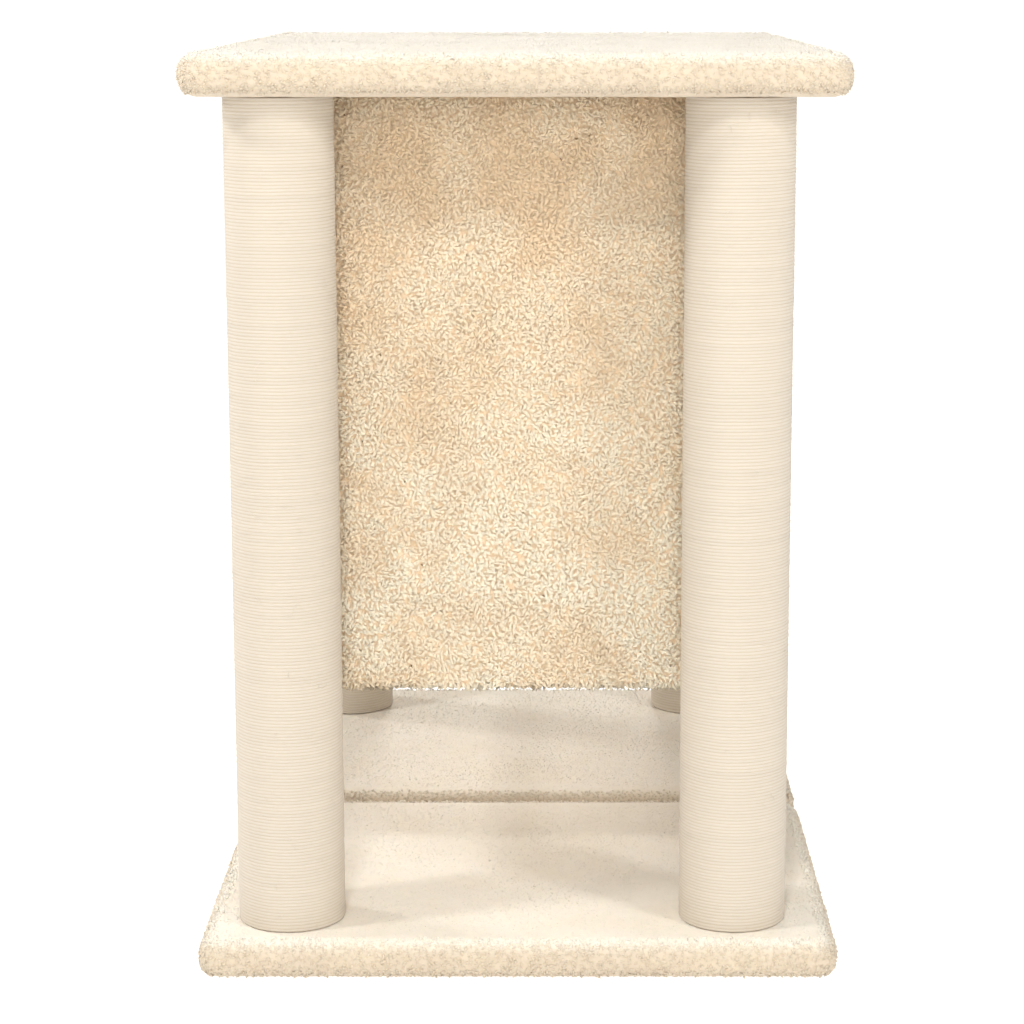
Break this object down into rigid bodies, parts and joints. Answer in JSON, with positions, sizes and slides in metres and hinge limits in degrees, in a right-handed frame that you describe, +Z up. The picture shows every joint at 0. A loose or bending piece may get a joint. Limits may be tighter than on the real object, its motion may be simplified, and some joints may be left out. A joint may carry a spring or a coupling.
{
  "type": "cat tree",
  "caption": "Free-standing cat tree: plush-covered base and top deck held apart by sisal-wound posts, with an enclosed long-pile plush cave hung under the top.",
  "frame": {"origin": "on the floor, under the middle of the plates", "axes": "+X across the tree, +Y along it from the front end to the rear end, +Z up"},
  "size_m": [0.384, 0.58, 0.5506],
  "materials": {
    "short_plush": "short dense cream plush",
    "long_plush": "long curly cream plush, tan at the roots",
    "sisal": "fine pale sisal cord, closely wound",
    "chipboard": "raw chipboard",
    "cardboard": "spiral-wound brown cardboard tube",
    "plug_wood": "turned softwood",
    "zinc_steel": "zinc-plated steel"
  },
  "bodies": {
    "root": {"base_board_front": "chipboard", "base_board_rear": "chipboard", "base_bolt_front_left": "zinc_steel", "base_bolt_front_right": "zinc_steel", "base_bolt_rear_left": "zinc_steel", "base_bolt_rear_right": "zinc_steel", "base_plush_front": "short_plush", "base_plush_rear": "short_plush", "base_strip_left": "zinc_steel", "base_strip_right": "zinc_steel", "base_strip_screw_left_front": "zinc_steel", "base_strip_screw_left_rear": "zinc_steel", "base_strip_screw_right_front": "zinc_steel", "base_strip_screw_right_rear": "zinc_steel", "cave_floor_board": "chipboard", "cave_floor_cover": "long_plush", "cave_floor_screw_front_left": "zinc_steel", "cave_floor_screw_front_right": "zinc_steel", "cave_floor_screw_rear_left": "zinc_steel", "cave_floor_screw_rear_right": "zinc_steel", "cave_front_wall_board": "chipboard", "cave_front_wall_cover": "long_plush", "cave_hanging_screw_left_front": "zinc_steel", "cave_hanging_screw_left_rear": "zinc_steel", "cave_hanging_screw_right_front": "zinc_steel", "cave_hanging_screw_right_rear": "zinc_steel", "cave_left_wall_board": "chipboard", "cave_left_wall_cover": "long_plush", "cave_rear_wall_board": "chipboard", "cave_rear_wall_cover": "long_plush", "cave_right_wall_board": "chipboard", "cave_right_wall_cover": "long_plush", "post_bottom_plug_front_left": "plug_wood", "post_bottom_plug_front_right": "plug_wood", "post_bottom_plug_rear_left": "plug_wood", "post_bottom_plug_rear_right": "plug_wood", "post_sisal_front_left": "sisal", "post_sisal_front_right": "sisal", "post_sisal_rear_left": "sisal", "post_sisal_rear_right": "sisal", "post_stud_front_left": "zinc_steel", "post_stud_front_right": "zinc_steel", "post_stud_rear_left": "zinc_steel", "post_stud_rear_right": "zinc_steel", "post_top_plug_front_left": "plug_wood", "post_top_plug_front_right": "plug_wood", "post_top_plug_rear_left": "plug_wood", "post_top_plug_rear_right": "plug_wood", "post_tube_front_left": "cardboard", "post_tube_front_right": "cardboard", "post_tube_rear_left": "cardboard", "post_tube_rear_right": "cardboard", "tee_nut_front_left": "zinc_steel", "tee_nut_front_right": "zinc_steel", "tee_nut_rear_left": "zinc_steel", "tee_nut_rear_right": "zinc_steel", "top_board": "chipboard", "top_plush": "short_plush", "top_underside_lining": "short_plush"}
  },
  "joints": []
}
